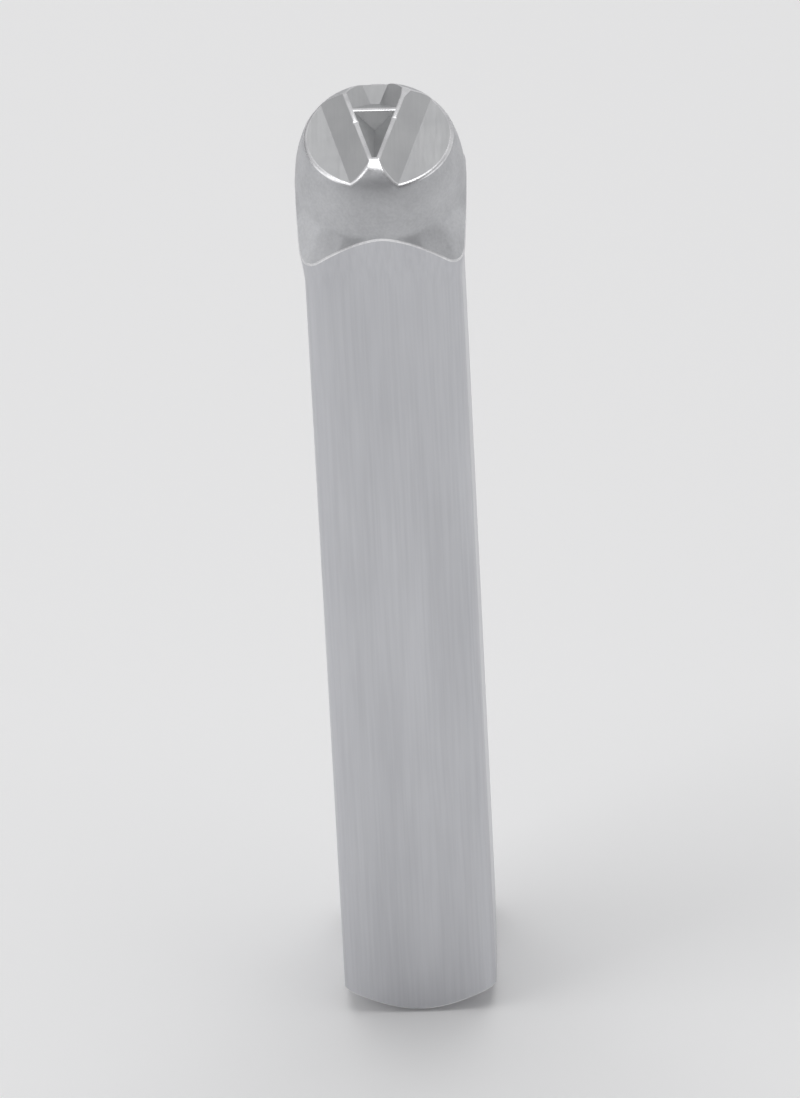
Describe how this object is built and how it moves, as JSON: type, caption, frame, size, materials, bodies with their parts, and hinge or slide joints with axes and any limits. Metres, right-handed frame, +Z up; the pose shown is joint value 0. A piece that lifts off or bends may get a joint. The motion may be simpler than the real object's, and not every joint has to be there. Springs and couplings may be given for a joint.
{
  "type": "steel letter punch",
  "caption": "Square steel hand punch with a rounded neck and a raised capital letter on its face, struck with a hammer to stamp the letter into metal, leather or wood.",
  "frame": {"origin": "centre of the flat struck end, on which the punch stands", "axes": "+Z up the punch from the struck end to the letter; -Y towards the letter's apex, so its feet are at +Y"},
  "size_m": [0.0098, 0.0098, 0.07],
  "materials": {
    "tool_steel": "satin"
  },
  "bodies": {
    "root": {"punch": "tool_steel"}
  },
  "joints": []
}
